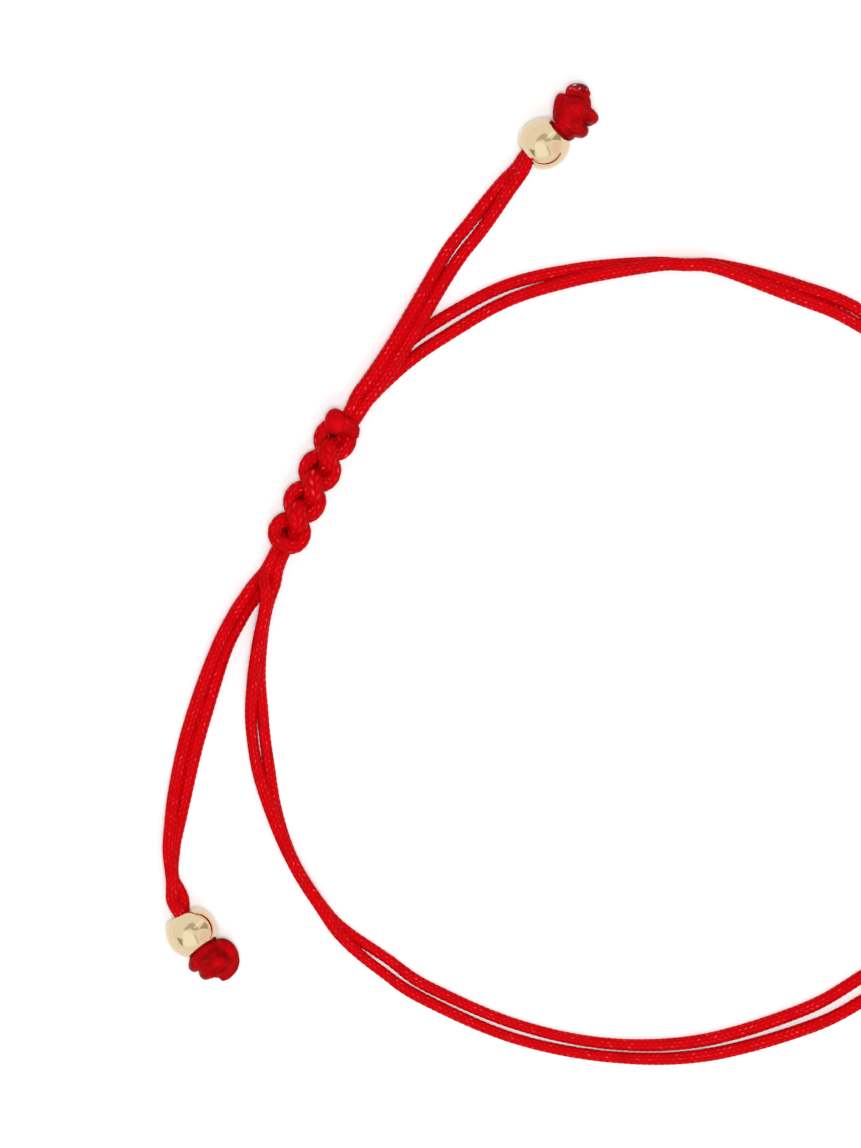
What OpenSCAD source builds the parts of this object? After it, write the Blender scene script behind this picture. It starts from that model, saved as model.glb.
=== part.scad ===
// Cord bracelet with a sliding knot. Two braided cords run side by side from an
// end knot through a round bead, along a tail, through the slide knot, once round
// the loop, back through the slide knot and out to the other bead and end knot.
// It lies on a surface at Z = 0, with Z up and the origin in the middle below it.

/* [Cord] */
// Diameter of the braided cord that the bracelet is made of
cord_d = 0.95; // [0.85:0.05:0.95]
// Diameter of the thinner cord that is tied into the slide knot
tie_d = 0.8; // [0.7:0.05:0.8]
// Flat sides of a cord
cord_sides = 8; // [6:1:8]

/* [Beads] */
// Diameter of a bead
bead_d = 4; // [3.9:0.1:4.2]
// Bore of a bead, wide enough for both cords
bead_bore_d = 2.2; // [2.1:0.1:2.4]
// Width of the flat rim round each end of the bore
rim_w = 0.1; // [0.05:0.05:0.15]

/* [Slide knot] */
// Lean of the knot's axis from the Y direction, clockwise in degrees
knot_lean = 26; // [24:1:28]
// Length of one of the knot's four loops
loop_pitch = 2.7; // [2.7:0.1:2.8]
// Diameter of the cords where the knot squeezes them
squeezed_d = 0.6; // [0.5:0.05:0.6]
// Distance between the squeezed cords' centres
squeezed_pitch = 0.64; // [0.64:0.01:0.66]
// Height of the knot's axis above the surface
knot_height = 1.42; // [1.42:0.02:1.6]

/* [Hidden] */

cord_colour = [0.84, 0.02, 0.06];
bead_colour = [0.86, 0.76, 0.60];

// Centre of the slide knot on the surface
knot_place = [-23.9, 6.9];
// Bead centres, and the way from the tail to the end knot in degrees
upper_bead = [-5.8, 33.5];
upper_bead_turn = 37;
lower_bead = [-33.2, -27.9];
lower_bead_turn = -62;
// Roll of the two cords inside a bead, from side by side to one above the other
upper_bead_roll = 70;
lower_bead_roll = -75;
// Distance between the two cords' centres in a bead
bead_pitch = 1;
// How far from the bead's centre the two cords end inside its bore
bead_run = 1.5;

// Steps of each smooth curve between two rows of its table
strand_steps = 2;
tie_steps = 2;
end_steps = 3;

// The route of the pair of cords, by stretches. Columns: x, y, rise of the lower
// cord above the surface, distance between the two centres, roll of the pair
// (0 side by side, 90 one above the other), diameter of each cord, which is d
// wherever nothing squeezes it.
d = cord_d;
upper_tail = [
    [-7.8, 31.5, 0.80, 1.04, 65, d],
    [-9.0, 30.0, 0.40, 1.00, 40, d],
    [-11.1, 27.1, 0.05, 1.20, 0, d],
    [-12.7, 25.1, 0.00, 1.20, 0, d],
    [-14.2, 22.7, 0.30, 1.00, 0, d],
    [-15.7, 20.1, 0.90, 1.00, 0, d],
    [-17.3, 17.4, 1.05, 1.00, 0, d],
    [-19.1, 14.8, 1.20, 1.00, 0, d],
    [-20.0, 13.7, 1.25, 0.92, 0, 0.86]];
left_side = [
    [-27.0, 0.0, 1.20, 0.85, 0, 0.8],
    [-27.3, -1.5, 1.00, 1.03, -55, d],
    [-27.6, -3.2, 0.40, 1.05, -75, d],
    [-27.9, -5.2, 0.00, 1.02, -75, d],
    [-28.2, -8.5, 0.00, 1.00, -60, d],
    [-28.0, -13.0, 0.00, 1.00, -40, d],
    [-27.0, -18.0, 0.00, 1.00, -65, d],
    [-25.3, -22.5, 0.00, 1.00, -90, d],
    [-22.8, -26.4, 0.00, 1.00, -85, d],
    [-21.1, -28.3, 0.00, 1.00, -55, d]];
lower_side = [
    [-18.2, -30.5, 0, 1.00, -15, d],
    [-15.1, -32.6, 0, 1.00, 0, d],
    [-8.2, -35.6, 0, 1.00, 0, d],
    [-1.0, -37.1, 0, 1.00, 0, d],
    [6.3, -37.0, 0, 1.25, 0, d],
    [13.7, -35.0, 0, 1.45, 0, d],
    [18.6, -32.6, 0, 1.80, 0, d]];
right_side = [
    [26.8, -26.7, 0, 1.80, 0, d],
    [32.2, -18.6, 0, 1.60, 0, d],
    [34.4, -9.4, 0, 1.40, 0, d],
    [33.8, 0.0, 0, 1.20, 0, d],
    [30.4, 8.8, 0, 1.10, 0, d],
    [25.2, 15.4, 0, 1.00, 0, d]];
upper_side = [
    [18.6, 20.1, 0, 1.05, 10, d],
    [13.7, 22.1, 0, 1.05, 25, d],
    [8.0, 23.9, 0, 1.05, 75, d],
    [5.2, 24.1, 0, 1.00, 90, d],
    [2.4, 24.1, 0, 1.05, 75, d],
    [-3.5, 23.3, 0, 1.00, 35, d],
    [-8.9, 21.8, 0, 1.20, 0, d],
    [-14.1, 18.9, 0, 1.30, 0, d],
    [-16.8, 16.9, 0, 1.12, 0, d],
    [-19.1, 14.7, 0.10, 1.00, 0, 0.92],
    [-20.0, 13.7, 0.25, 0.92, 0, 0.84]];
lower_tail = [
    [-27.3, -0.1, 0.30, 0.85, 0, 0.8],
    [-28.6, -1.7, 0.00, 1.00, -50, d],
    [-29.7, -3.4, 0.00, 1.00, -55, d],
    [-31.1, -6.3, 0.00, 1.00, -50, d],
    [-33.0, -12.1, 0.00, 1.00, -5, d],
    [-34.0, -16.3, 0.00, 1.00, -20, d],
    [-34.7, -20.4, 0.20, 1.00, -60, d],
    [-34.6, -23.4, 0.70, 1.00, -80, d]];

// Half of a front bar of the slide knot, from the bar's middle over the squeezed
// cords to the middle of the side loop. Columns: across, along, height above the
// knot's axis, share of the tying cord's diameter.
front_bar = [
    [0.00, 0.00, 1.09, 1.00],
    [0.50, 0.08, 1.08, 1.00],
    [0.95, 0.24, 1.06, 0.92],
    [1.32, 0.62, 1.05, 0.78],
    [1.33, loop_pitch / 2, 0.45, 0.98]];
// Half of a back bar, in the same columns, from the bar's middle behind the
// squeezed cords, up inside the side loop and over the front bar's end to the
// middle of the side loop before it.
back_bar = [
    [0.00, 0.00, -1.02, 0.85],
    [0.50, 0.28, -0.99, 0.80],
    [0.92, 0.46, -0.50, 0.65],
    [0.92, 0.62, 0.10, 0.58],
    [0.79, 0.80, 0.70, 0.54],
    [0.56, 0.76, 1.42, 0.68],
    [0.74, 0.28, 1.84, 0.90],
    [1.04, -0.25, 1.73, 0.98],
    [1.27, -0.75, 1.05, 0.98],
    [1.33, -loop_pitch / 2, 0.45, 0.98]];
// The tying cord's middle, over the front of the squeezed cords below the loops
lowest_bar = [
    [-1.10, -4.85, 0.85, 0.98],
    [-0.60, -5.30, 1.05, 1.00],
    [0.00, -5.42, 1.10, 1.00],
    [0.60, -5.30, 1.05, 1.00],
    [1.10, -4.85, 0.85, 0.98]];
// The tying cord's two ends at the last bar, in the same columns: one is cut off
// beside the bar, and the other is melted into a drop on top of it
trimmed_end = [
    [1.20, 0.46, 0.98, 0.90],
    [1.38, 0.68, 0.90, 0.85]];
melted_end = [
    [-0.77, 0.00, 1.95, 1.15],
    [-0.80, 0.35, 1.96, 1.30],
    [-0.83, 0.68, 1.90, 1.15],
    [-0.85, 0.88, 1.85, 0.60]];

// An end knot is one cord, whose two ends meet the pair's ends in the bead: it
// winds out from the bore, turns round at its tip and comes back to the bore
// through the windings. Columns: distance along the bead's axis from its centre,
// turn round that axis (0 right, 90 up), distance from the axis, share of the
// cord's diameter.
winding = [
    [1.62, -110, 0.50, 0.95],
    [1.86, -110, 0.56, 0.92],
    [2.14, -75, 0.90, 0.95],
    [2.36, -25, 1.20, 1.00],
    [2.50, 35, 1.28, 1.04],
    [2.62, 95, 1.32, 1.05],
    [2.76, 155, 1.36, 1.04],
    [2.90, 215, 1.36, 1.03],
    [3.12, 275, 1.36, 1.04],
    [3.38, 335, 1.36, 1.05],
    [3.54, 395, 1.36, 1.05],
    [3.70, 455, 1.34, 1.04],
    [3.88, 515, 1.28, 1.02],
    [4.06, 575, 1.18, 0.99]];
upper_tip = [
    [4.24, 635, 1.00, 0.97],
    [4.46, 690, 0.78, 0.96],
    [4.74, 730, 0.62, 0.95],
    [4.88, 775, 0.48, 0.93],
    [4.84, 850, 0.42, 0.90],
    [4.56, 890, 0.38, 0.88],
    [4.00, 890, 0.20, 0.85]];
lower_tip = [
    [4.18, 635, 1.00, 0.96],
    [4.24, 695, 0.76, 0.92],
    [4.24, 755, 0.50, 0.90],
    [4.06, 815, 0.30, 0.86],
    [3.74, 830, 0.16, 0.85]];
core = [
    [3.30, 800, 0.10, 0.85],
    [2.60, 790, 0.15, 0.88],
    [2.10, 790, 0.36, 0.88],
    [1.86, 790, 0.46, 0.92],
    [1.62, 790, 0.50, 0.95]];

function rest(list) = [for (i = [1:1:len(list) - 1]) list[i]];
function reversed(list) = [for (i = [len(list) - 1:-1:0]) list[i]];
function place(row) = [row[0], row[1], row[2]];
function unit(v) = v / norm(v);

// A smooth curve through every row of a table, which passes on all its columns
function between(a, b, c, e, t) =
    0.5 * (2 * b + (c - a) * t + (2 * a - 5 * b + 4 * c - e) * t * t
           + (3 * b - a - 3 * c + e) * t * t * t);
function smooth(rows, steps) =
    let (n = len(rows),
         ends = concat([2 * rows[0] - rows[1]], rows, [2 * rows[n - 1] - rows[n - 2]]))
    concat([for (i = [0:n - 2], k = [0:steps - 1])
                between(ends[i], ends[i + 1], ends[i + 2], ends[i + 3], k / steps)],
           [rows[n - 1]]);

// Unit directions of a path, and at each point a side vector square to the path
// that turns no more than the path does
function directions(path) =
    [for (i = [0:len(path) - 1])
        unit(place(path[min(i + 1, len(path) - 1)]) - place(path[max(i - 1, 0)]))];
function square_to(v, way) = unit(v - (v * way) * way);
function side_vectors(ways) =
    [for (i = 0, side = square_to([0, 0, 1], ways[0]);
          i < len(ways);
          side = square_to(side, ways[min(i + 1, len(ways) - 1)]), i = i + 1) side];

// A closed cord: a ring of corners round each point [x, y, z, diameter] of a path
module cord(path) {
    ways = directions(path);
    sides = side_vectors(ways);
    n = cord_sides;
    rings = len(path);
    corners = [for (i = [0:rings - 1], k = [0:n - 1])
        let (turn = 360 * (k + 0.5) / n, up = cross(ways[i], sides[i]))
        place(path[i]) + path[i][3] / 2 * (cos(turn) * sides[i] + sin(turn) * up)];
    walls = [for (i = [0:rings - 2], k = [0:n - 1])
        let (a = i * n + k, b = i * n + (k + 1) % n)
        each [[a, a + n, b], [b, a + n, b + n]]];
    caps = [[for (k = [0:n - 1]) k], [for (k = [n - 1:-1:0]) (rings - 1) * n + k]];
    polyhedron(points = corners, faces = concat(walls, caps), convexity = 20);
}

// Rows of the pair's route in a bead and in the slide knot, where the pair is
// squeezed between the first and the last of these distances from its middle
squeezed_runs = [6.4, 2, -2, -5.9];
function bead_row(centre, turn, roll, run) =
    [centre[0] + run * cos(turn), centre[1] + run * sin(turn),
     (bead_d - cord_d - bead_pitch * abs(sin(roll))) / 2, bead_pitch, roll, cord_d];
function at_knot(across, along) =
    knot_place + across * [cos(knot_lean), -sin(knot_lean)]
               + along * [sin(knot_lean), cos(knot_lean)];
function knot_row(along, layer) =
    let (at = at_knot(0, along))
    [at[0], at[1], knot_height + (layer * squeezed_pitch - squeezed_d) / 2,
     squeezed_pitch, 0, squeezed_d];

// The pair's whole route, from the upper bead to the lower one
pair_route = concat(
    [for (run = [bead_run, 0, -bead_run])
        bead_row(upper_bead, upper_bead_turn, upper_bead_roll, run)],
    upper_tail,
    [for (run = squeezed_runs) knot_row(run, 1)],
    left_side, lower_side, right_side, upper_side,
    [for (run = squeezed_runs) knot_row(run, -1)],
    lower_tail,
    [for (run = [-bead_run, 0, bead_run])
        bead_row(lower_bead, lower_bead_turn, lower_bead_roll, run)]);

// One cord of the pair, to the left (1) or right (-1) of the route
function strand_path(side) =
    let (rows = smooth(pair_route, strand_steps),
         ways = directions([for (r = rows) [r[0], r[1], 0]]))
    [for (i = [0:len(rows) - 1])
        let (r = rows[i], half = r[3] / 2, roll = r[4],
             low = max(r[2], 0) + r[5] / 2 + half * abs(sin(roll)))
        [r[0] - side * half * cos(roll) * ways[i][1],
         r[1] + side * half * cos(roll) * ways[i][0],
         low + side * half * sin(roll), r[5]]];

// The tying cord's whole path in the slide knot's own columns: at each bar the
// cord on the left crosses in front to the right, and the one on the right goes
// over it, behind and up through its loop to the left. The last bar's two halves
// stop after so many rows, where the cut and the melted end carry on.
function half_turned(rows) = [for (r = rows) [-r[0], -r[1], r[2], r[3]]];
function moved(rows, along) = [for (r = rows) [r[0], r[1] + along, r[2], r[3]]];
whole_front = concat(reversed(half_turned(front_bar)), rest(front_bar));
whole_back = concat(reversed(back_bar), rest(half_turned(back_bar)));
before_drop = 15;
before_cut = 6;
left_end = concat(
    rest(moved(whole_front, -loop_pitch)), rest(whole_back),
    rest(moved(whole_front, loop_pitch)),
    moved(concat([for (i = [1:before_drop]) whole_back[i]], melted_end), 2 * loop_pitch));
right_end = concat(
    rest(moved(whole_back, -loop_pitch)), rest(whole_front),
    rest(moved(whole_back, loop_pitch)),
    moved(concat([for (i = [1:before_cut]) whole_front[i]], trimmed_end), 2 * loop_pitch));
tie_route = concat(
    reversed(left_end), [moved(whole_front, -loop_pitch)[0]], lowest_bar,
    [moved(whole_back, -loop_pitch)[0]], right_end);
function knot_path(rows) =
    [for (r = smooth(rows, tie_steps))
        let (at = at_knot(r[0], r[1]))
        [at[0], at[1], knot_height + r[2], r[3] * tie_d]];

// The winding of an end knot on the bead at a centre and turn. Past the bead, at
// the table's first row, the axis that it winds round bends to the left, and over
// the length of the bend it comes to lean by so many degrees. Each turn of the
// winding is square to the axis there. The table is stretched by long along the
// axis and by wide across it.
bend_length = 2;
function end_path(centre, turn, tip, long, wide, lean) =
    let (rows = concat(winding, tip, core), start = rows[0][0])
    [for (r = smooth(rows, end_steps))
        let (share = min(max(r[0] - 2, 0), 1), grown = 1 + share * (wide - 1),
             right = grown * r[2] * cos(r[1]), up = grown * r[2] * sin(r[1]),
             run = long * (r[0] - start), bent = min(run, bend_length),
             aside = -tan(lean) * (run * bent - bent * bent / 2) / bend_length,
             way = atan(tan(lean) * bent / bend_length),
             along = start + run + right * sin(way), out = aside + right * cos(way))
        [centre[0] + along * cos(turn) + out * sin(turn),
         centre[1] + along * sin(turn) - out * cos(turn),
         bead_d / 2 + up, grown * r[3] * cord_d]];

module strand(side) {
    color(cord_colour) cord(strand_path(side));
}

module slide_knot() {
    color(cord_colour) cord(knot_path(tie_route));
}

// A round bead, bored through and faced off at both ends of the bore
module bead(centre, turn) {
    rim_z = sqrt(pow(bead_d / 2, 2) - pow(bead_bore_d / 2 + rim_w, 2));
    color(bead_colour)
        translate([centre[0], centre[1], bead_d / 2]) rotate([0, 90, turn])
            difference() {
                sphere(d = bead_d, $fn = 64);
                cylinder(d = bead_bore_d, h = 2 * bead_d, center = true, $fn = 64);
                for (end = [-1, 1])
                    translate([0, 0, end * (rim_z + bead_d / 2)])
                        cube(bead_d, center = true);
            }
}

module end_knot(path) {
    color(cord_colour) cord(path);
}

strand(-1);  // strand_outer
strand(1);  // strand_inner
slide_knot();
bead(upper_bead, upper_bead_turn);  // bead_upper
bead(lower_bead, lower_bead_turn);  // bead_lower
end_knot(end_path(upper_bead, upper_bead_turn, upper_tip, 1.05, 1.05, 33));  // end_knot_upper
end_knot(end_path(lower_bead, lower_bead_turn, lower_tip, 1, 1, 15));  // end_knot_lower
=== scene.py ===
"""Cord bracelet with a sliding knot, laid on a white surface and seen from straight above."""

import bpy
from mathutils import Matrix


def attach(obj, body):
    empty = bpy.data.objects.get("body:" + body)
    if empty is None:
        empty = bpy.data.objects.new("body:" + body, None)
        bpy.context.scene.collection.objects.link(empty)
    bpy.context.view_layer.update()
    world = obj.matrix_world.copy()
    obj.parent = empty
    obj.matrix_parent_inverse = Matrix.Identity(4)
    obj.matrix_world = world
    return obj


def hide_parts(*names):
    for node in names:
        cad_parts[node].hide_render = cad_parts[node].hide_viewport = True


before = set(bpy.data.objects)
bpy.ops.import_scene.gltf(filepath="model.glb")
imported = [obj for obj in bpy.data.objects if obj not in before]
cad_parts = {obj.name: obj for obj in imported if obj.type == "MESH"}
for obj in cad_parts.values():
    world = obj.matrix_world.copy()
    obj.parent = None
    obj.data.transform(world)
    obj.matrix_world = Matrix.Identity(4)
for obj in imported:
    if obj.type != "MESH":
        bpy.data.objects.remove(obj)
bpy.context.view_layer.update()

import math

import bpy
import numpy as np
from mathutils import Vector

# The scene is in metres, and MM turns the sizes and tables below, which are in millimetres. The
# tables follow the routes of the cords in the frame. Where the photograph shows it, the cords are
# moved by a few tenths of a millimetre, thinner or thicker, nearer together or more rolled.
MM = 0.001

CORD_D = 0.95
BEAD_D = 4.0
BORE_D = 2.2
RIM_W = 0.1

# A braided cord's crests stand proud of the plain cord in the frame by this share
PROUD = 1.08

# Steps of a smooth curve from one row of a table to the next
STEPS = 24

# Slide knot: its middle, its lean from the Y direction in degrees, the height of its axis, and the
# number, distance and middles of its rings, from the highest to the lowest
KNOT_PLACE = np.array([-23.82, 6.87])
KNOT_LEAN = 26
KNOT_HEIGHT = 1.42
RINGS = 4
RING_PITCH = 2.7
RING_MIDDLES = [(ring - (RINGS - 1) / 2) * RING_PITCH for ring in reversed(range(RINGS))]

# The pair in the slide knot: diameter and distance apart where it is squeezed, and its rows as
# along, across, diameter
SQUEEZED_D = 0.6
SQUEEZED_PITCH = 0.64
SQUEEZED_RUN = [(6.2, 0.4, 0.95), (2, 0, SQUEEZED_D), (-2, 0, SQUEEZED_D), (-5.9, 0, 0.88)]

# The pair has painted shade within this reach of the knot's middle, after a fade, and is shown no
# thinner than this
SHADE_REACH = 5.0
SHADE_FADE = 0.4
THINNEST_D = 0.70

# Beads: middle, way from the tail to the end knot and roll of the two cords inside, in degrees
UPPER_BEAD = ((-5.8, 33.5), 37, 70)
LOWER_BEAD = ((-33.2, -27.9), -62, -75)

# The pair in a bead: distance apart, and where its first and last row are from the bead's middle
BEAD_PITCH = 1.0
BEAD_RUN = 1.5

# A bead's profile: points on its round, the angle in radians by which the round ends before the rim,
# and its two rounded edges, as in from the rim's plane and out from the rim's or bore's radius. It is
# carried round the bore in BEAD_SIDES.
ROUND_POINTS = 81
EDGE_ANGLE = 0.02
RIM_EDGE = [(0.012, -0.004), (0.0, -0.02)]
BORE_EDGE = [(0.0, 0.03), (0.01, 0.008), (0.04, 0.0)]
BEAD_SIDES = 160

# The pair's route by stretches: x, y, rise of the lower cord, distance apart, roll in degrees,
# diameter
UPPER_TAIL = [
    (-7.7, 31.45, 0.80, 0.95, 58, 0.98),
    (-8.95, 29.95, 0.40, 0.93, 35, 1.01),
    (-11.1, 27.1, 0.05, 1.09, 0, 0.94),
    (-12.7, 25.1, 0.00, 1.11, 0, 0.94),
    (-14.2, 22.7, 0.30, 0.97, 0, 0.98),
    (-15.7, 20.1, 0.90, 0.92, 0, 1.02),
    (-17.3, 17.4, 1.05, 0.92, 0, 1.02),
    (-19.05, 14.8, 1.20, 0.92, 0, 1.02),
    (-19.9, 13.7, 1.25, 0.90, 0, 0.90)]
LEFT_SIDE = [
    (-27.0, 0.0, 1.20, 0.82, 0, 0.86),
    (-27.22, -1.5, 0.95, 0.97, -70, 0.97),
    (-27.54, -3.2, 0.40, 1.02, -86, 0.94),
    (-27.9, -5.2, 0.00, 1.02, -80, 0.95),
    (-28.2, -8.5, 0.00, 1.00, -60, 0.95),
    (-28.0, -13.0, 0.00, 0.98, -6, 0.86),
    (-27.0, -18.0, 0.00, 1.00, -65, 0.95),
    (-25.3, -22.5, 0.00, 1.00, -90, 0.95),
    (-22.8, -26.4, 0.00, 1.00, -85, 0.95),
    (-21.1, -28.3, 0.00, 0.90, -46, 0.84)]
LOWER_SIDE = [
    (-18.2, -30.5, 0.0, 1.06, 0, 0.79),
    (-15.1, -32.6, 0.0, 1.01, 0, 0.86),
    (-8.2, -35.6, 0.0, 1.08, 0, 0.81),
    (-1.0, -37.1, 0.0, 1.00, 0, 0.86),
    (6.3, -37.0, 0.0, 1.15, 0, 0.97),
    (13.7, -35.0, 0.0, 1.40, 0, 0.98),
    (18.6, -32.6, 0.0, 1.60, 0, 0.95)]
RIGHT_SIDE = [
    (26.8, -26.7, 0.0, 1.80, 0, 0.95),
    (32.2, -18.6, 0.0, 1.60, 0, 0.95),
    (34.4, -9.4, 0.0, 1.40, 0, 0.95),
    (33.8, 0.0, 0.0, 1.20, 0, 0.95),
    (30.4, 8.8, 0.0, 1.10, 0, 0.95),
    (25.2, 15.4, 0.0, 1.00, 0, 0.95)]
UPPER_SIDE = [
    (18.6, 20.1, 0.0, 1.06, 8, 0.95),
    (13.7, 22.1, 0.0, 0.97, 25, 1.00),
    (8.0, 23.9, 0.0, 1.00, 75, 0.97),
    (5.2, 24.1, 0.0, 1.00, 90, 0.95),
    (2.4, 24.1, 0.0, 1.05, 75, 0.95),
    (-3.5, 23.3, 0.0, 1.00, 35, 0.95),
    (-8.9, 21.8, 0.0, 1.16, 0, 0.92),
    (-14.1, 18.9, 0.0, 1.30, 0, 0.95),
    (-16.8, 16.9, 0.0, 1.12, 0, 0.95),
    (-19.1, 14.7, 0.1, 1.00, 0, 0.92),
    (-20.0, 13.7, 0.25, 0.92, 0, 0.84)]
LOWER_TAIL = [
    (-27.3, -0.1, 0.30, 0.85, 0, 0.80),
    (-28.6, -1.7, 0.00, 0.93, -50, 0.99),
    (-29.7, -3.4, 0.00, 0.92, -50, 1.01),
    (-31.1, -6.3, 0.00, 0.92, -45, 1.01),
    (-33.0, -12.1, 0.00, 0.94, -5, 1.01),
    (-34.0, -16.3, 0.00, 0.95, -20, 0.99),
    (-34.7, -20.4, 0.20, 1.00, -60, 0.95),
    (-34.82, -21.8, 0.40, 1.00, -70, 0.94),
    (-34.80, -23.0, 0.55, 1.00, -83, 0.92),
    (-34.68, -23.9, 0.68, 1.00, -82, 0.92),
    (-34.47, -24.7, 0.80, 1.00, -58, 0.96),
    (-34.30, -25.4, 0.92, 1.00, -42, 0.98)]

# The slide knot's tying cord, pulled tight: across, along from the middle of a ring, height above
# the knot's axis, diameter. Four rings lie one below the other, each a left and a right half that
# dips under the next ring, and a strap runs down over the joints between them.
HALF_RING = [
    (0.20, 1.10, -0.25, 0.95),
    (0.62, 0.92, 0.15, 1.05),
    (0.97, 0.53, 0.42, 1.08),
    (1.12, 0.00, 0.55, 1.05),
    (1.00, -0.53, 0.58, 1.08),
    (0.66, -0.92, 0.58, 1.12),
    (0.22, -1.12, 0.50, 1.05)]
LOWEST_BEND = [
    (0.62, -0.92, 0.80, 1.12),
    (0.00, -1.06, 1.12, 1.22),
    (-0.62, -0.92, 0.80, 1.12)]
STRAP = [
    (0.14, -0.15, 0.45, 0.80),
    (-0.05, -0.42, 0.80, 1.05),
    (-0.20, -0.80, 1.22, 1.38),
    (-0.06, -1.20, 1.38, 1.50),
    (0.22, -1.62, 1.32, 1.50),
    (0.30, -2.00, 1.08, 1.32),
    (0.24, -2.36, 0.75, 1.00)]
STRAP_START = [(0.28, 0.30, 0.40, 0.80)]
STRAP_END = [
    (0.30, -0.15, 0.45, 0.80),
    (0.28, -0.45, 0.20, 0.70)]
BACK_STRAP = [
    (0.28, 0.00, -1.00, 0.74),
    (-0.28, -1.35, -1.00, 0.74)]
TOP_BAR = [
    (-0.70, 1.15, 0.90, 1.00),
    (-0.15, 1.30, 1.15, 1.25),
    (0.35, 1.32, 1.15, 1.32),
    (0.80, 1.22, 1.00, 1.25),
    (1.15, 1.15, 0.85, 1.05),
    (1.38, 1.18, 0.80, 0.90),
    (1.50, 1.22, 0.80, 0.60)]
MELTED_DROP = [
    (-0.17, 0.36, 1.15, 0.35),
    (-0.25, 0.53, 1.22, 1.02),
    (-0.41, 0.87, 1.36, 1.45),
    (-0.60, 1.27, 1.42, 1.56),
    (-0.77, 1.63, 1.36, 1.42),
    (-0.92, 1.93, 1.26, 1.02),
    (-1.00, 2.11, 1.20, 0.35)]

# The end knots, on a bead's own axes: along from its middle, right, above its axis, diameter. Each
# is a cord that winds out of the bore and back into it, a smooth lobe where its turns are pulled
# into one another on the left, and the stub of its two ends, cut and melted together.
UPPER_TURNS = [
    (1.45, 0.30, 0.10, 0.90),
    (1.72, 0.40, 0.00, 0.95),
    (2.02, 0.62, 0.00, 0.95),
    (2.08, 0.35, 0.75, 1.00),
    (2.10, -0.15, 1.05, 1.00),
    (2.22, -0.60, 0.85, 0.95),
    (2.42, -0.80, 0.20, 0.85),
    (2.52, -0.70, -0.65, 0.90),
    (2.45, -0.20, -1.05, 1.00),
    (2.65, 0.60, -0.85, 1.00),
    (2.90, 0.95, -0.10, 1.05),
    (2.92, 0.80, 0.60, 1.10),
    (2.75, 0.20, 1.10, 1.15),
    (2.52, -0.50, 1.15, 1.15),
    (2.45, -0.92, 0.80, 1.10),
    (2.65, -1.10, 0.10, 0.95),
    (2.80, -1.00, -0.70, 1.00),
    (3.10, -0.40, -1.10, 1.00),
    (3.60, 0.40, -0.90, 1.00),
    (4.16, 0.68, -0.10, 0.94),
    (4.16, 0.52, 0.55, 0.98),
    (3.86, 0.00, 1.05, 1.10),
    (3.65, -0.70, 1.20, 1.20),
    (3.45, -1.30, 0.85, 1.15),
    (3.40, -1.55, 0.10, 1.00),
    (3.65, -1.40, -0.70, 1.00),
    (3.90, -0.80, -0.95, 0.95),
    (4.00, -0.40, -0.40, 0.90),
    (3.60, -0.30, 0.00, 0.85),
    (3.00, -0.10, 0.00, 0.85),
    (2.20, -0.20, 0.00, 0.85),
    (1.60, -0.30, -0.05, 0.90)]
UPPER_LOBE = [
    (1.95, -0.55, 0.40, 0.60),
    (2.12, -0.72, 0.40, 1.10),
    (2.52, -1.04, 0.35, 1.34),
    (2.95, -1.46, 0.35, 1.36),
    (3.28, -1.78, 0.35, 1.26),
    (3.54, -1.92, 0.30, 1.00),
    (3.68, -1.98, 0.30, 0.55)]
UPPER_STUB = [
    (3.50, -0.25, 0.25, 1.00),
    (3.85, -0.72, 0.45, 1.12),
    (4.12, -1.10, 0.55, 1.10),
    (4.26, -1.28, 0.58, 0.98),
    (4.40, -1.46, 0.60, 1.06),
    (4.62, -1.72, 0.62, 1.00),
    (4.84, -1.95, 0.64, 0.78),
    (4.97, -2.10, 0.65, 0.36)]
LOWER_TURNS = [
    (1.45, 0.30, 0.10, 0.90),
    (1.75, 0.45, 0.00, 0.95),
    (2.36, 1.02, -0.10, 0.92),
    (2.34, 0.80, 0.60, 0.98),
    (2.24, 0.12, 1.10, 1.15),
    (2.12, -0.60, 1.15, 1.15),
    (2.08, -1.20, 0.75, 1.10),
    (2.12, -1.50, 0.05, 1.05),
    (2.25, -1.20, -0.75, 1.00),
    (2.55, -0.30, -1.10, 1.00),
    (2.95, 0.40, -0.80, 1.00),
    (3.30, 0.52, -0.05, 1.00),
    (3.26, 0.34, 0.60, 1.04),
    (3.16, -0.15, 1.05, 1.15),
    (3.10, -0.75, 1.15, 1.20),
    (3.05, -1.30, 0.80, 1.15),
    (3.10, -1.58, 0.05, 1.10),
    (3.35, -1.35, -0.70, 1.00),
    (3.60, -0.75, -0.90, 0.90),
    (3.65, -0.35, -0.45, 0.85),
    (3.60, -0.25, 0.00, 0.85),
    (3.00, -0.20, 0.00, 0.85),
    (2.20, -0.20, 0.00, 0.85),
    (1.60, -0.30, -0.05, 0.90)]
LOWER_LOBE = [
    (1.88, -0.80, 0.10, 0.60),
    (1.95, -1.10, 0.15, 1.15),
    (2.16, -1.52, 0.20, 1.45),
    (2.70, -1.70, 0.20, 1.52),
    (3.35, -1.56, 0.15, 1.45),
    (3.85, -1.26, 0.10, 1.20),
    (4.05, -1.06, 0.05, 0.70)]
LOWER_STUB = [
    (3.30, -0.70, 0.20, 0.86),
    (3.65, -0.90, 0.34, 0.88),
    (3.95, -1.02, 0.34, 0.90),
    (4.20, -1.08, 0.32, 0.88),
    (4.38, -1.12, 0.30, 0.72),
    (4.46, -1.14, 0.29, 0.42)]

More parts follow.
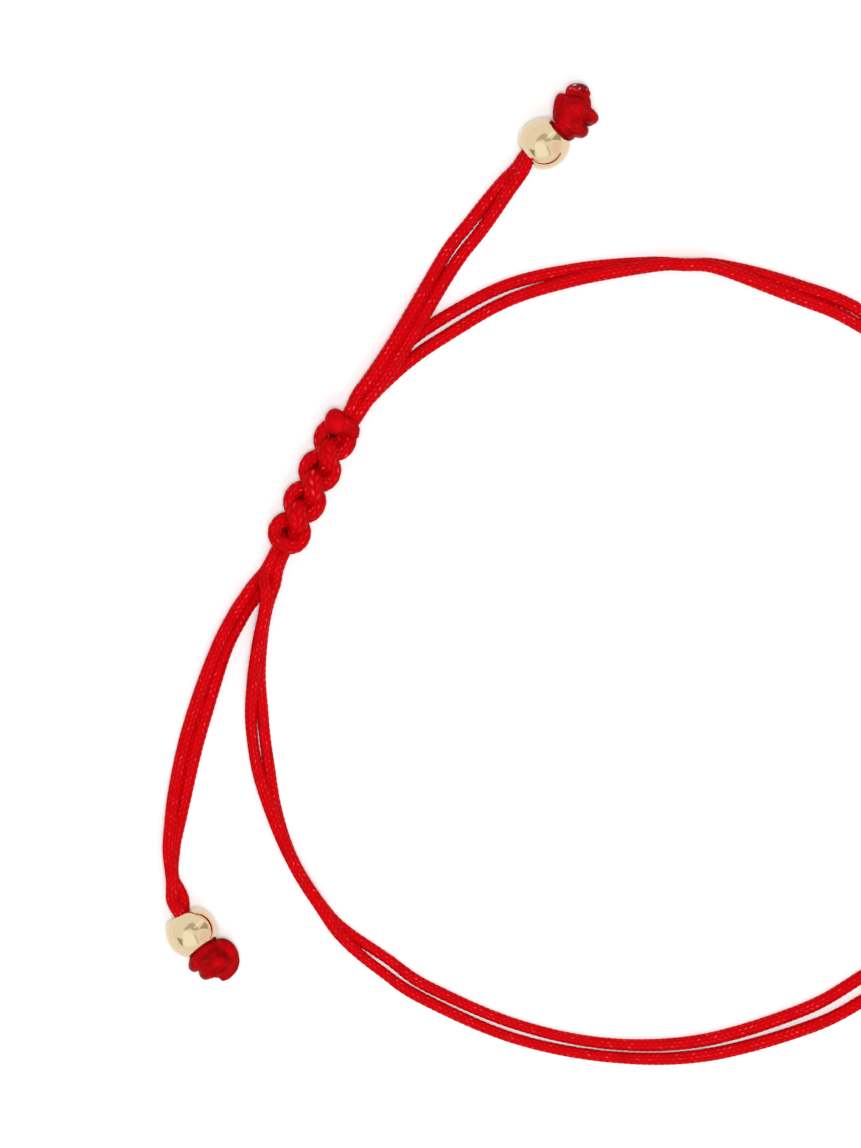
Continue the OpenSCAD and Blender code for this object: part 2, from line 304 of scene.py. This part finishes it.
# Panels of the room that the beads mirror: name, colour, and corners as mirrored_from takes them
PANELS = [
    ("side_panel", (0.53, 0.52, 0.46), [(0.26, 0.14), (0.66, 0.12), (0.62, 0.30), (0.50, 0.42)]),
    ("round_panel", (0.66, 0.66, 0.61), [
        (-0.33, 0.06), (-0.16, 0.30), (0.02, 0.40), (0.14, 0.32), (0.28, 0.10), (0.10, 0.06),
        (-0.06, 0.16)]),
    ("low_panel", (0.46, 0.45, 0.38), [
        (-0.58, -0.18), (-0.36, -0.26), (-0.34, -0.54), (-0.46, -0.42)]),
    ("bright_panel", (1.28, 1.36, 1.39), [
        (-0.33, 0.02), (-0.08, 0.05), (0.08, -0.12), (0.16, -0.48), (-0.24, -0.54), (-0.35, -0.28)]),
    ("rosy_panel", (1.09, 0.97, 0.96), [
        (0.34, 0.06), (0.66, 0.08), (0.67, -0.16), (0.50, -0.44), (0.28, -0.28)]),
    ("edge_panel", (0.80, 0.79, 0.71), [(0.08, -0.10), (0.24, -0.46), (0.28, -0.44), (0.15, -0.08)]),
    ("slit_panel", (1.60, 1.66, 1.71), [(0.05, 0.17), (0.38, 0.48), (0.40, 0.46), (0.07, 0.14)])]

# The end knots: bead, turns, lobe, stub, and how much of the stub's end is singed
END_KNOTS = {
    "upper": (UPPER_BEAD, UPPER_TURNS, UPPER_LOBE, UPPER_STUB, 0.5),
    "lower": (LOWER_BEAD, LOWER_TURNS, LOWER_LOBE, LOWER_STUB, 0.0)}

# The singeing fades over SINGED_FADE. From FLAT_FROM over the bead's axis the turns are pulled flat:
# each millimetre of height, up to FLAT_MOST of them, broadens a turn by FLAT_SHARE. The stub is
# STUB_BROAD times as broad as it is high.
SINGED_FADE = 0.3
FLAT_FROM = 0.4
FLAT_SHARE = 0.5
FLAT_MOST = 0.6
STUB_BROAD = 1.75

# The braid: columns of slanted yarns round the cord, what a yarn and a column are divided into, and a
# yarn's pitch and depth
COLUMNS = 10
SIDES_PER_COLUMN = 4
RINGS_PER_YARN = 4
YARN_PITCH = 0.47
YARN_DEPTH = 0.035

# A yarn runs along the cord by this share of its pitch while it crosses its column, and its crest has
# these powers along and across. Melted, it is this high all over.
YARN_LEAN = 0.7
CREST_ALONG = 0.8
CREST_ACROSS = 2.2
MELTED_LIFT = 0.7

# Colours of the cords and the beads, some of them painting light and shade: shade between the
# yarns and in the knots, highlights on the yarn crests, and glints on the singed end
CREST_RED = (0.75, 0.0, 0.005, 1)
GROOVE_SHADE_AND_DULL_RED = (0.43, 0.0, 0.001, 1)
HIGHLIGHT_RED = (0.90, 0.09, 0.11, 1)
SHADE_RED = (0.10, 0.0, 0.0, 1)
SINGED_BROWN = (0.07, 0.0, 0.002, 1)
SINGED_RED = (0.3, 0.002, 0.008, 1)
GLINT_SPECK = (0.9, 0.5, 0.45, 1)
PALE_GOLD = (0.69, 0.535, 0.34, 1)

# The photograph: its size and the frame's origin in pixels, and a pixel's size at the surface
PHOTO_SIZE = (861, 1148)
PHOTO_ORIGIN = (618, 574)
PIXEL = 0.078

# The studio, in metres: soft square lights as name, place, side and watts, then the sky's strength,
# the floor, and the ceiling and the distance of the panels that the beads mirror
LIGHTS = [("overhead", (0, -0.05, 1.2), 0.25, 9.0), ("key", (0.15, -0.6, 1.1), 0.4, 2.5)]
SKY_STRENGTH = 0.5
FLOOR_HALF = 3.0
FLOOR_WHITE = (0.93, 0.93, 0.93, 1)
CEILING_HALF = 600.0
CEILING_HEIGHT = 2.5
CEILING_SHADE = (1.11, 1.14, 1.14)
PANEL_DISTANCE = 2.0


def unit(vectors):
    """Vectors scaled to length 1."""
    return vectors / np.linalg.norm(vectors, axis=-1, keepdims=True)


def turn_parts(degrees):
    """Cosine and sine of an angle in degrees."""
    angle = math.radians(degrees)
    return math.cos(angle), math.sin(angle)


def smooth(rows):
    """The Catmull-Rom curve through the rows of a table, on all its columns."""
    rows = np.array(rows, float)
    ends = np.vstack([2 * rows[0] - rows[1], rows, 2 * rows[-1] - rows[-2]])
    at = np.linspace(0, len(rows) - 1, (len(rows) - 1) * STEPS + 1)
    i = np.minimum(at.astype(int), len(rows) - 2)
    t = (at - i)[:, None]
    a, b, c, e = ends[i], ends[i + 1], ends[i + 2], ends[i + 3]
    return 0.5 * (2 * b + (c - a) * t + (2 * a - 5 * b + 4 * c - e) * t**2
                  + (3 * b - a - 3 * c + e) * t**3)


def lengths(line):
    """Distance along a line at each of its points."""
    return np.concatenate([[0], np.cumsum(np.linalg.norm(np.diff(line, axis=0), axis=1))])


def at_lengths(values, along, wanted):
    """Values given at distances along a line, read off at other distances."""
    flat = values.reshape(len(along), -1)
    read = [np.interp(wanted, along, column) for column in flat.T]
    return np.stack(read, axis=-1).reshape(wanted.shape + values.shape[1:])


def upwards(line):
    """The upward direction at each point of a line."""
    return np.tile([0.0, 0.0, 1.0], (len(line), 1))


def moved(rows, along):
    """Rows of across, along, height, diameter, moved along."""
    return [(across, at + along, height, thick) for across, at, height, thick in rows]


def mirrored(rows):
    """Rows of across, along, height, diameter, with left and right exchanged."""
    return [(-across, at, height, thick) for across, at, height, thick in rows]


def bead_row(bead, run):
    """The pair's row in a bead, so far along its bore from the middle."""
    (x, y), turn, roll = bead
    rise = (BEAD_D - CORD_D - BEAD_PITCH * abs(math.sin(math.radians(roll)))) / 2
    c, s = turn_parts(turn)
    return (x + run * c, y + run * s, rise, BEAD_PITCH, roll, CORD_D)


def at_knot(across, along):
    """Places across and along the slide knot as places on the surface."""
    c, s = turn_parts(KNOT_LEAN)
    return KNOT_PLACE[0] + across * c + along * s, KNOT_PLACE[1] - across * s + along * c


def knot_rows(layer):
    """The pair's rows in the slide knot, in its upper (1) or lower (-1) layer."""
    rows = []
    for along, across, thick in SQUEEZED_RUN:
        x, y = at_knot(across, along)
        rise = KNOT_HEIGHT + (layer * SQUEEZED_PITCH - thick) / 2
        rows.append((x, y, rise, SQUEEZED_PITCH, 0, thick))
    return rows


def pair_route():
    """The pair's rows from the upper bead through the slide knot, once round the loop, and through
    the slide knot again to the lower bead."""
    first = [bead_row(UPPER_BEAD, run) for run in (BEAD_RUN, 0, -BEAD_RUN)]
    loop = LEFT_SIDE + LOWER_SIDE + RIGHT_SIDE + UPPER_SIDE
    last = [bead_row(LOWER_BEAD, run) for run in (-BEAD_RUN, 0, BEAD_RUN)]
    return first + UPPER_TAIL + knot_rows(1) + loop + knot_rows(-1) + LOWER_TAIL + last


def strand_line(side):
    """Middle line and diameters of the pair's left (1) or right (-1) cord: half the distance apart
    to one side of the route, turned out of the level by the roll."""
    x, y, rise, apart, roll, thick = smooth(pair_route()).T
    ways = unit(np.gradient(np.stack([x, y], 1), axis=0))
    beside = side * apart / 2 * np.cos(np.radians(roll))
    above = side * apart / 2 * np.sin(np.radians(roll))
    line = np.stack([x - beside * ways[:, 1], y + beside * ways[:, 0],
                     np.maximum(rise, 0) + thick / 2 + abs(above) + above], 1)
    return line * MM, thick * MM


def in_knot(rows):
    """Middle line, diameters and outward directions of a cord given in the slide knot's columns."""
    across, along, height, thick = smooth(rows).T
    x, y = at_knot(across, along)
    out_x, out_y = at_knot(across, 0 * along)
    line = np.stack([x, y, KNOT_HEIGHT + height], 1)
    outward = np.stack([out_x - KNOT_PLACE[0], out_y - KNOT_PLACE[1], height], 1)
    return line * MM, thick * MM, outward


def tied_cords():
    """The tying cord's visible runs: down the left halves of the rings, round below the lowest and
    up the right halves, then the strap down the front and the one behind. The bend below takes the
    place of the lowest ring's last two rows."""
    left = [row for middle in RING_MIDDLES for row in moved(mirrored(HALF_RING), middle)][:-2]
    right = [row for middle in RING_MIDDLES for row in moved(HALF_RING, middle)][:-2]
    sides = left + moved(mirrored(LOWEST_BEND), RING_MIDDLES[-1]) + right[::-1]
    strap = moved(STRAP_START, RING_MIDDLES[0])
    strap += [row for middle in RING_MIDDLES[:-1] for row in moved(STRAP, middle)]
    strap += moved(STRAP_END, RING_MIDDLES[-1])
    behind = [row for middle in RING_MIDDLES for row in moved(BACK_STRAP, middle)]
    return [in_knot(rows) for rows in (sides, strap, behind)]


def on_bead(bead, rows):
    """Middle line, diameters and outward directions of a cord given on a bead's own axes."""
    (x, y), turn, _ = bead
    along, right, above, thick = smooth(rows).T
    c, s = turn_parts(turn)
    line = np.stack([x + along * c + right * s, y + along * s - right * c, BEAD_D / 2 + above], 1)
    outward = np.stack([right * s, -right * c, above], 1)
    return line * MM, thick * MM, outward


def square_frames(line, outward):
    """Side and up of a cord at each point of its line: outward made square to the line, and then
    turned back by all that it has twisted round the line so far."""
    ahead = unit(np.gradient(line, axis=0))
    side = unit(outward - (outward * ahead).sum(1, keepdims=True) * ahead)
    up = np.cross(ahead, side)
    turned = (np.diff(side, axis=0) * (up[1:] + up[:-1]) / 2).sum(1)
    twist = np.concatenate([[0], np.cumsum(turned)])[:, None]
    return np.cos(twist) * side - np.sin(twist) * up, np.sin(twist) * side + np.cos(twist) * up


def braid_grid(length):
    """Distance along, angle round and lift from 0 to 1 of a braid's surface, as a grid of rings along
    the cord and sides round it. Round it run columns of yarns that slant one way and the other by
    turns, so each ring zigzags and the grid lies along the yarns, less so near the cord's ends. The
    surface is lowest between two yarns and at a column's edge, where the yarns dive under the next
    column, half a pitch along: sine of the way along the yarn, times 1 less the way from the
    column's middle, each to its power."""
    pitch = YARN_PITCH * MM
    yarns = max(int(round(length / pitch)), 2)
    rings, sides = yarns * RINGS_PER_YARN + 1, COLUMNS * SIDES_PER_COLUMN
    ring, k = np.meshgrid(np.arange(rings), np.arange(sides), indexing="ij")
    column, part = k // SIDES_PER_COLUMN, k % SIDES_PER_COLUMN / SIDES_PER_COLUMN
    slant = np.where(column % 2 == 0, part - 0.5, 0.5 - part)
    s = ring / (rings - 1) * length
    room = np.minimum(np.minimum(s, length - s) / (2 * pitch), 1)
    s = s + YARN_LEAN * pitch * room * slant
    yarn = (ring / RINGS_PER_YARN + column % 2 / 2) % 1
    lift = np.sin(np.pi * yarn) ** CREST_ALONG * (1 - (2 * abs(part - 0.5)) ** CREST_ACROSS)
    return s, 2 * np.pi * k / sides, lift


def braided(line, thick, outward, melt=0.0, char=0.0, painted_shade=0.0, broad=1.0):
    """Points, faces, UV and values of a braided cord: each point stands off the line at its angle by
    the radius, less the yarns' depth where the lift is low. Melt levels the lift, char and the painted
    shade only colour the cord, and broad stretches it by that share square to the outward direction."""
    along = lengths(line)
    s, angle, lift = braid_grid(along[-1])
    soft, burnt, shade_share, spread = [
        at_lengths(np.broadcast_to(value, along.shape), along, s) for value in (melt, char, painted_shade, broad)]
    lift = lift * (1 - soft) + MELTED_LIFT * soft
    radius = at_lengths(thick, along, s) / 2 * PROUD - YARN_DEPTH * MM * (1 - lift)
    side, up = square_frames(line, outward)
    spoke = radius[..., None] * (
        np.cos(angle)[..., None] * at_lengths(side, along, s)
        + np.sin(angle)[..., None] * at_lengths(up, along, s))
    across = unit(np.cross(unit(np.gradient(line, axis=0)), outward))
    wide = at_lengths(across, along, s)
    spoke = spoke + ((spread - 1) * (spoke * wide).sum(-1))[..., None] * wide
    points = at_lengths(line, along, s) + spoke
    return tube(points, {"lift": lift, "melt": soft, "char": burnt, "painted_shade": shade_share})


def wall(rows, rings, sides):
    """Ring, side and four corners of each face of a grid's wall, in so many rows between its rings.
    The sides close, and the last ring joins the first where there are as many rows as rings."""
    i, k = np.meshgrid(np.arange(rows), np.arange(sides), indexing="ij")
    i, k = i.ravel(), k.ravel()
    j, after = (i + 1) % rings, (k + 1) % sides
    return i, k, np.stack([i * sides + k, i * sides + after, j * sides + after, j * sides + k], 1)


def tube(points, values):
    """A grid of rings as a closed tube: points, faces, UV in yarns along and columns round, values.
    Each end is closed by triangles to the middle of its ring."""
    rings, sides = points.shape[:2]
    i, k, walls = wall(rings - 1, rings, sides)
    u = np.stack([i, i, i + 1, i + 1], 1) / RINGS_PER_YARN
    v = np.stack([k, k + 1, k + 1, k], 1) / SIDES_PER_COLUMN
    first, last = rings * sides, rings * sides + 1
    n = np.arange(sides)
    top = (rings - 1) * sides
    caps = np.vstack([np.stack([n * 0 + first, (n + 1) % sides, n], 1),
                      np.stack([n * 0 + last, top + n, top + (n + 1) % sides], 1)])
    points = np.vstack([points.reshape(-1, 3), points[0].mean(0), points[-1].mean(0)])
    uv = np.vstack([np.stack([u.ravel(), v.ravel()], 1), np.zeros((caps.size, 2))])
    values = {key: np.append(grid.ravel(), [grid[0].mean(), grid[-1].mean()])
              for key, grid in values.items()}
    return points, walls.tolist() + caps.tolist(), uv, values


def turned_bead(bead):
    """A bead as its profile carried round its bore: a round outside from rim to rim, a flat rim with
    rounded edges at both ends, and the bore."""
    (x, y), turn, _ = bead
    bore = BORE_D / 2
    rim = bore + RIM_W
    start = math.asin(2 * rim / BEAD_D)
    arc = np.linspace(start + EDGE_ANGLE, math.pi - start - EDGE_ANGLE, ROUND_POINTS)
    end = BEAD_D / 2 * math.cos(start)
    outside = np.stack([BEAD_D / 2 * np.cos(arc), BEAD_D / 2 * np.sin(arc)], 1)
    edge = [(-end + t, rim + r) for t, r in RIM_EDGE] + [(-end + t, bore + r) for t, r in BORE_EDGE]
    profile = np.vstack([outside, edge, [(-t, r) for t, r in edge[::-1]]])
    rings, sides = len(profile), BEAD_SIDES
    angle = np.linspace(0, 2 * np.pi, sides, endpoint=False)
    t, r = profile[:, :1] + 0 * angle, profile[:, 1:] * np.ones(sides)
    right, above = r * np.cos(angle), r * np.sin(angle)
    c, s = turn_parts(turn)
    points = np.stack([x + t * c + right * s, y + t * s - right * c, BEAD_D / 2 + above], -1)
    i, k, faces = wall(rings, rings, sides)
    uv = np.stack([np.stack([k, k + 1, k + 1, k], 1) / sides,
                   np.stack([i, i, i + 1, i + 1], 1) / rings], -1)
    return points.reshape(-1, 3) * MM, faces.tolist(), uv.reshape(-1, 2), {}


def piece(name, parts, material, node):
    """One mesh object of several parts, which rides on the root body and stands for a CAD node."""
    points, faces, uvs, values, start = [], [], [], {}, 0
    for part_points, part_faces, uv, part_values in parts:
        points.append(part_points)
        faces += [[start + n for n in face] for face in part_faces]
        uvs.append(uv)
        for key, numbers in part_values.items():
            values.setdefault(key, []).append(numbers)
        start += len(part_points)
    mesh = bpy.data.meshes.new(name)
    mesh.from_pydata(np.vstack(points).tolist(), [], faces)
    mesh.uv_layers.new(name="UVMap").data.foreach_set("uv", np.vstack(uvs).ravel())
    for key, numbers in values.items():
        mesh.attributes.new(key, "FLOAT", "POINT").data.foreach_set("value", np.concatenate(numbers))
    mesh.polygons.foreach_set("use_smooth", np.ones(len(faces), bool))
    mesh.materials.append(material)
    mesh.update()
    made = bpy.data.objects.new(name, mesh)
    bpy.context.scene.collection.objects.link(made)
    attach(made, "root")
    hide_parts(node)
    return made


class Value:
    """A node socket to calculate with: an operator on it adds a Math node."""

    def __init__(self, nodes, socket):
        self.nodes, self.socket = nodes, socket

    def __add__(self, other):
        return self.nodes.math("ADD", self, other)

    def __sub__(self, other):
        return self.nodes.math("SUBTRACT", self, other)

    def __mul__(self, other):
        return self.nodes.math("MULTIPLY", self, other)

    def __pow__(self, other):
        return self.nodes.math("POWER", self, other)

    def __rsub__(self, other):
        return self.nodes.math("SUBTRACT", other, self)

    __radd__ = __add__
    __rmul__ = __mul__


class Finish:
    """A material under construction, with constants on its shader's sockets. An underscore in the
    name of a socket stands for a space."""

    def __init__(self, name, **constants):
        self.material = bpy.data.materials.new(name)
        self.material.use_nodes = True
        self.tree = self.material.node_tree
        self.shader = self.tree.nodes["Principled BSDF"]
        self.set(**constants)

    def node(self, kind, output=0, settings=(), **inputs):
        """Adds a node: its settings first, then the values or links of its sockets, by name or as an
        underscore and their number. Gives the output of that number."""
        made = self.tree.nodes.new("ShaderNode" + kind)
        for key, value in dict(settings).items():
            setattr(made, key, value)
        for key, value in inputs.items():
            self.feed(made.inputs[int(key[1:]) if key[1:].isdigit() else key.replace("_", " ")], value)
        return Value(self, made.outputs[output])

    def feed(self, socket, value):
        """Links a value to a socket, or sets the socket to a constant."""
        if isinstance(value, Value):
            self.tree.links.new(value.socket, socket)
        else:
            socket.default_value = value

    def math(self, operation, a, b):
        """One Math node on two values or numbers."""
        return self.node("Math", settings={"operation": operation}, _0=a, _1=b)

    def limited(self, value):
        """A value kept between 0 and 1."""
        return self.node("Clamp", Value=value)

    def attribute(self, name):
        """One of the mesh's own values."""
        return self.node("Attribute", 2, {"attribute_name": name})

    def noise(self, place, scale, detail):
        """Noise with so many cells on each unit of its place, and so many finer layers."""
        return self.node("TexNoise", Vector=place, Scale=scale, Detail=detail)

    def mix(self, share, a, b):
        """The colour a share of the way from a to b."""
        return self.node("Mix", 2, {"data_type": "RGBA"}, _0=share, _6=a, _7=b)

    def set(self, **inputs):
        """Feeds the shader's sockets and gives the material."""
        for key, value in inputs.items():
            self.feed(self.shader.inputs[key.replace("_", " ")], value)
        return self.material


def cord_finish(name):
    """Satin braid: painted shade between its yarns and in the knots, painted highlights on some yarn
    crests, with fine filaments along each yarn, and smooth and glossy where it is melted. Where it is
    singed it is dark brown to red, with painted glints as pale specks. Each share of a colour is a
    noise times its contrast, moved by where it begins, and kept between 0 and 1."""
    finish = Finish(name, IOR=1.08, Coat_Roughness=0.15)
    lift, melt = finish.attribute("lift"), finish.attribute("melt")
    char, painted_shade = finish.attribute("char"), finish.attribute("painted_shade")
    place, weave = finish.node("TexCoord", 3), finish.node("TexCoord", 2)
    uneven = finish.noise(place, 900.0, 2.0)
    flecks = finish.noise(weave, 1.3, 3.0)
    stretched = finish.node("Mapping", Vector=weave, Scale=(9.0, 0.7, 1.0))
    filaments = finish.noise(stretched, 3.0, 2.0)
    # Painted shade between the yarns: darker red where the lift is low. The same red also marks duller
    # patches at random.
    red = finish.mix(lift, GROOVE_SHADE_AND_DULL_RED, CREST_RED)
    dull = finish.limited(1.7 - 3.0 * uneven) * 0.7
    red = finish.mix(dull, red, GROOVE_SHADE_AND_DULL_RED)
    # Painted highlights: lighter red on the tops of some yarn crests
    shine = finish.limited((flecks * 9 - 5) * lift ** 4 * (1 - melt))
    red = finish.mix(shine, red, HIGHLIGHT_RED)
    # Painted shade in the slide knot and the end knots: darker red where the mesh's shade values are
    # high
    shaded = finish.limited(painted_shade * (2.4 - 2.8 * uneven))
    red = finish.mix(shaded, red, SHADE_RED)
    # Painted glints: pale specks on the singed end
    glint_specks = finish.limited(finish.noise(place, 3200.0, 1.0) * 14 - 8.2)
    singed = finish.mix(glint_specks, finish.mix(uneven, SINGED_BROWN, SINGED_RED), GLINT_SPECK)
    bump = finish.node("Bump", Strength=0.25, Distance=0.00002, Height=filaments)
    return finish.set(Base_Color=finish.mix(char, red, singed), Normal=bump,
                      Roughness=0.46 - 0.16 * melt + 0.12 * uneven, Coat_Weight=char * 0.2)


def bead_finish():
    """Polished pale gold, hazier in a few patches and slightly uneven."""
    finish = Finish("polished_gold", Metallic=1.0, Base_Color=PALE_GOLD)
    place = finish.node("TexCoord", 3)
    haze = finish.noise(place, 700.0, 3.0)
    dents = finish.noise(place, 450.0, 1.0)
    bump = finish.node("Bump", Strength=0.2, Distance=0.00004, Height=dents)
    return finish.set(Roughness=0.04 + 0.1 * haze, Normal=bump)


def camera():
    """Straight above, so high that the photograph's frame fits at the surface: its height times the
    lens over the sensor."""
    (across, high), (left, down) = PHOTO_SIZE, PHOTO_ORIGIN
    pixel = PIXEL * MM
    data = bpy.data.cameras.new("camera")
    data.lens, data.sensor_width = 400, 36
    data.clip_start, data.clip_end = 0.01, 10
    made = bpy.data.objects.new("camera", data)
    distance = high * pixel * data.lens / data.sensor_width
    made.location = ((across / 2 - left) * pixel, (down - high / 2) * pixel, distance)
    bpy.context.scene.collection.objects.link(made)
    bpy.context.scene.camera = made


def soft_light(name, place, side, watts):
    """A square light that faces the origin and isn't seen itself, nor mirrored."""
    data = bpy.data.lights.new(name, "AREA")
    data.shape, data.size, data.size_y = "RECTANGLE", side, side
    data.energy = watts
    made = bpy.data.objects.new(name, data)
    made.location = place
    made.rotation_euler = (-Vector(place)).to_track_quat("-Z", "Y").to_euler()
    made.visible_camera = made.visible_glossy = False
    bpy.context.scene.collection.objects.link(made)


def stage_sheet(name, points, material):
    """A flat sheet of the studio between its corners."""
    mesh = bpy.data.meshes.new(name)
    mesh.from_pydata(np.array(points).tolist(), [], [tuple(range(len(points)))])
    mesh.materials.append(material)
    made = bpy.data.objects.new(name, mesh)
    bpy.context.scene.collection.objects.link(made)
    return made


def level_square(half, height):
    """Corners of a level square round the Z axis."""
    return [(-half, -half, height), (half, -half, height), (half, half, height), (-half, half, height)]


def mirrored_from(corners):
    """Places in the room that show at these places on a bead seen from above: right and up from its
    middle, as shares of its radius. With the surface's direction there (u, v, w), the ray from above
    leaves along (2wu, 2wv, 2ww - 1)."""
    u, v = np.array(corners).T
    w = np.sqrt(1 - u**2 - v**2)
    return PANEL_DISTANCE * np.stack([2 * w * u, 2 * w * v, 2 * w**2 - 1], 1)


def backdrop(name, points, shade):
    """A far, evenly bright sheet, seen in the polished beads only."""
    panel = Finish(name, Base_Color=(0, 0, 0, 1), Roughness=1.0, Specular_IOR_Level=0.0,
                   Emission_Color=shade + (1,), Emission_Strength=1.0)
    made = stage_sheet(name, points, panel.material)
    made.visible_camera = made.visible_diffuse = made.visible_shadow = False


def studio():
    """A white floor and soft light from all round, with a stronger soft light from the lower right,
    and the ceiling and panels that the beads mirror."""
    world = bpy.data.worlds.new("studio")
    world.use_nodes = True
    sky = world.node_tree.nodes["Background"]
    sky.inputs["Color"].default_value = (1, 1, 1, 1)
    sky.inputs["Strength"].default_value = SKY_STRENGTH
    bpy.context.scene.world = world
    white = Finish("white_floor", Base_Color=FLOOR_WHITE, Roughness=0.9, Specular_IOR_Level=0.1)
    stage_sheet("floor", level_square(FLOOR_HALF, 0), white.material)
    for light in LIGHTS:
        soft_light(*light)
    backdrop("ceiling", level_square(CEILING_HALF, CEILING_HEIGHT), CEILING_SHADE)
    for name, shade, corners in PANELS:
        backdrop(name, mirrored_from(corners), shade)
    bpy.context.scene.view_settings.view_transform = "Standard"


def strand(name, side, node, material):
    """One cord of the pair, from bead to bead, with painted shade inside the slide knot, and raised by
    what its crests stand proud, so that it lies on the floor."""
    line, thick = strand_line(side)
    middle = np.append(KNOT_PLACE, 0) * MM
    # Painted shade on the pair inside the slide knot, fading out at the edge of its reach
    inside = SHADE_REACH * MM - np.linalg.norm(line - middle, axis=1)
    knot_shade = np.clip(inside / (SHADE_FADE * MM), 0, 1)
    thick = np.maximum(thick, THINNEST_D * MM)
    line[:, 2] += (PROUD - 1) * thick / 2
    made = piece(name, [braided(line, thick, upwards(line), painted_shade=knot_shade)], material,
                 node)


def tied_knot(material):
    """The slide knot: the tying cord's runs, and its two ends, a bar and a melted drop, all with some
    painted shade.
    """
    bar = braided(*in_knot(moved(TOP_BAR, RING_MIDDLES[0])), melt=0.6, painted_shade=0.25)
    drop = braided(*in_knot(moved(MELTED_DROP, RING_MIDDLES[0])), melt=1.0, painted_shade=0.25)
    runs = [braided(*cord, painted_shade=0.06) for cord in tied_cords()]
    piece("tied_knot", runs + [bar, drop], material, "slide_knot")


def end_knot(place, material):
    """An end knot: its winding cord, flat on top, its lobe, and its stub, melted together, singed for a
    stretch at its end, and with painted shade all over."""
    bead, turns, lobe, stub, singed_end = END_KNOTS[place]
    wound = on_bead(bead, turns)
    above = wound[2][:, 2]
    broad = 1 + FLAT_SHARE * np.clip(above - FLAT_FROM, 0, FLAT_MOST)
    line, thick, _ = on_bead(bead, stub)
    far = lengths(line)
    burnt = np.clip((far - far[-1] + singed_end * MM) / (SINGED_FADE * MM), 0, 1)
    parts = [
        braided(*wound, melt=0.6, painted_shade=0.5, broad=broad),
        braided(*on_bead(bead, lobe), melt=0.75, painted_shade=0.5),
        braided(line, thick, upwards(line), melt=0.7, char=burnt, painted_shade=0.5, broad=STUB_BROAD)]
    piece(place + "_end_knot", parts, material, "end_knot_" + place)


camera()
studio()
braided_red = cord_finish("braided_red_cord")
tying_red = cord_finish("tying_red_cord")
strand("outer_cord", -1, "strand_outer", braided_red)
strand("inner_cord", 1, "strand_inner", braided_red)
tied_knot(tying_red)
end_knot("upper", braided_red)
end_knot("lower", braided_red)
gold = bead_finish()
piece("upper_gold_bead", [turned_bead(UPPER_BEAD)], gold, "bead_upper")
piece("lower_gold_bead", [turned_bead(LOWER_BEAD)], gold, "bead_lower")
